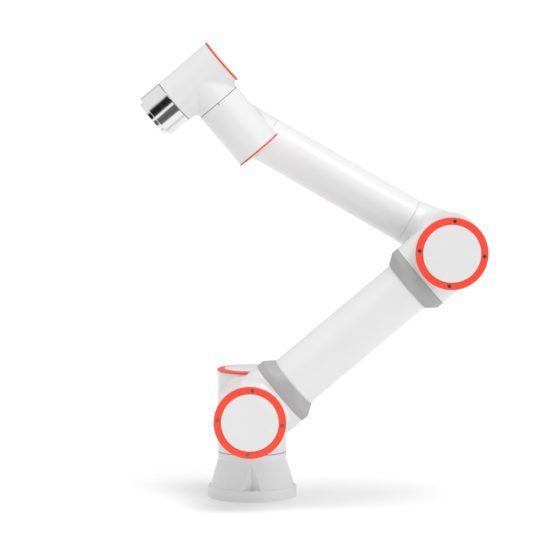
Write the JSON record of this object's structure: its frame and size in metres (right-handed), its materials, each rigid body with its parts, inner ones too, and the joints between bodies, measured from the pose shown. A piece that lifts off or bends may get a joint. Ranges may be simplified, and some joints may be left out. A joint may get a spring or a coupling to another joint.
{
  "type": "collaborative robot arm",
  "caption": "Six-axis collaborative robot arm on a notched round base, with capped joint housings, two tubular links and an ISO tool flange.",
  "frame": {"origin": "centre of the base bolt circle, on the mounting face", "axes": "+Z is the first joint's axis, up from the mounting face; +X is the side the arm reaches to in its rest pose; +Y points behind the plane the arm bends in"},
  "size_m": [0.5632, 0.2831, 0.7627],
  "materials": {
    "casting_white": "satin white powder coat on an aluminium casting",
    "tube_white": "satin white paint on a drawn aluminium tube",
    "cap_white": "fine-grained white plastic",
    "ring_orange": "satin orange-red plastic",
    "collar_grey": "matte mid-grey plastic",
    "screw_steel": "plain steel socket screws",
    "flange_metal": "turned and polished, with fine lathe marks",
    "connector_metal": "nickel-plated brass with a dark insert",
    "plate_aluminium": "plain sheet",
    "gear_steel": "ground bearing steel",
    "hub_aluminium": "machined",
    "stator_laminations": "varnished copper windings on steel laminations",
    "rotor_steel": "ground steel shaft with bonded magnets"
  },
  "bodies": {
    "base": {"base_casting": "casting_white", "base_plate": "plate_aluminium", "base_socket": "connector_metal", "joint_1_output_hub": "hub_aluminium"},
    "shoulder": {"shoulder_housing": "casting_white", "shoulder_cap": "cap_white", "shoulder_cap_ring": "ring_orange", "shoulder_cap_screws": "screw_steel", "joint_1_gear_ring": "gear_steel", "joint_1_stator": "stator_laminations", "joint_2_output_hub": "hub_aluminium"},
    "upper_arm": {"upper_arm_lower_housing": "casting_white", "upper_arm_lower_cap": "cap_white", "upper_arm_lower_cap_ring": "ring_orange", "upper_arm_lower_cap_screws": "screw_steel", "upper_arm_lower_collar": "collar_grey", "upper_arm_tube": "tube_white", "upper_arm_upper_collar": "collar_grey", "upper_arm_upper_housing": "casting_white", "upper_arm_upper_cap": "cap_white", "upper_arm_upper_cap_ring": "ring_orange", "upper_arm_upper_cap_screws": "screw_steel", "joint_2_gear_ring": "gear_steel", "joint_2_stator": "stator_laminations", "joint_3_gear_ring": "gear_steel", "joint_3_stator": "stator_laminations"},
    "forearm": {"forearm_elbow_housing": "casting_white", "forearm_set_screw": "screw_steel", "forearm_tube": "tube_white", "forearm_wrist_housing": "casting_white", "forearm_cap": "cap_white", "forearm_cap_ring": "ring_orange", "forearm_cap_screws": "screw_steel", "joint_3_output_hub": "hub_aluminium", "joint_4_gear_ring": "gear_steel", "joint_4_stator": "stator_laminations"},
    "wrist_1": {"wrist_1_housing": "casting_white", "wrist_1_cap": "cap_white", "wrist_1_cap_ring": "ring_orange", "wrist_1_cap_screws": "screw_steel", "joint_4_output_hub": "hub_aluminium", "joint_5_gear_ring": "gear_steel", "joint_5_stator": "stator_laminations"},
    "wrist_2": {"wrist_2_housing": "casting_white", "wrist_2_cap": "cap_white", "wrist_2_cap_ring": "ring_orange", "wrist_2_cap_screws": "screw_steel", "joint_5_output_hub": "hub_aluminium", "joint_6_gear_ring": "gear_steel", "joint_6_stator": "stator_laminations"},
    "tool": {"tool_flange": "flange_metal", "tool_connector": "connector_metal", "joint_6_output_hub": "hub_aluminium"},
    "rotor_1": {"joint_1_rotor": "rotor_steel"},
    "rotor_2": {"joint_2_rotor": "rotor_steel"},
    "rotor_3": {"joint_3_rotor": "rotor_steel"},
    "rotor_4": {"joint_4_rotor": "rotor_steel"},
    "rotor_5": {"joint_5_rotor": "rotor_steel"},
    "rotor_6": {"joint_6_rotor": "rotor_steel"}
  },
  "joints": [
    {"name": "base_rotation", "type": "hinge", "parent": "base", "child": "shoulder", "pos_m": [0, 0, 0], "axis": [0, 0, 1], "range_deg": [-175, 175]},
    {"name": "shoulder_lift", "type": "hinge", "parent": "shoulder", "child": "upper_arm", "pos_m": [0, 0, 0.152], "axis": [0, -1, 0], "range_deg": [-125.2, 224.8]},
    {"name": "elbow", "type": "hinge", "parent": "upper_arm", "child": "forearm", "pos_m": [0.32461, 0, 0.42632], "axis": [0, -1, 0], "range_deg": [-245, 40]},
    {"name": "wrist_1_lift", "type": "hinge", "parent": "forearm", "child": "wrist_1", "pos_m": [-0.01747, 0, 0.62382], "axis": [0, 1, 0], "range_deg": [-194.6, 155.4]},
    {"name": "wrist_2_turn", "type": "hinge", "parent": "wrist_1", "child": "wrist_2", "pos_m": [-0.01747, -0.102, 0.62382], "axis": [-0.6481, 0, 0.7615], "range_deg": [-175, 175]},
    {"name": "tool_rotation", "type": "hinge", "parent": "wrist_2", "child": "tool", "pos_m": [-0.08357, -0.102, 0.7015], "axis": [-0.7615, 0, -0.6481], "range_deg": [-175, 175]},
    {"name": "rotor_1_spin", "type": "hinge", "parent": "shoulder", "child": "rotor_1", "pos_m": [0, 0, 0], "axis": [0, 0, 1], "range_deg": [-18000, 18000]},
    {"name": "rotor_2_spin", "type": "hinge", "parent": "upper_arm", "child": "rotor_2", "pos_m": [0, 0, 0.152], "axis": [0, -1, 0], "range_deg": [-22980, 22980]},
    {"name": "rotor_3_spin", "type": "hinge", "parent": "upper_arm", "child": "rotor_3", "pos_m": [0.32461, 0, 0.42632], "axis": [0, -1, 0], "range_deg": [-25000, 25000]},
    {"name": "rotor_4_spin", "type": "hinge", "parent": "forearm", "child": "rotor_4", "pos_m": [-0.01747, 0, 0.62382], "axis": [0, 1, 0], "range_deg": [-19960, 19960]},
    {"name": "rotor_5_spin", "type": "hinge", "parent": "wrist_1", "child": "rotor_5", "pos_m": [-0.01747, -0.102, 0.62382], "axis": [-0.6481, 0, 0.7615], "range_deg": [-18000, 18000]},
    {"name": "rotor_6_spin", "type": "hinge", "parent": "wrist_2", "child": "rotor_6", "pos_m": [-0.08357, -0.102, 0.7015], "axis": [-0.7615, 0, -0.6481], "range_deg": [-18000, 18000]}
  ],
  "couplings": [
    {"joint": "rotor_1_spin", "follows": "base_rotation", "ratio": 100},
    {"joint": "rotor_2_spin", "follows": "shoulder_lift", "ratio": 100},
    {"joint": "rotor_3_spin", "follows": "elbow", "ratio": -100},
    {"joint": "rotor_4_spin", "follows": "wrist_1_lift", "ratio": -100},
    {"joint": "rotor_5_spin", "follows": "wrist_2_turn", "ratio": -100},
    {"joint": "rotor_6_spin", "follows": "tool_rotation", "ratio": -100}
  ]
}
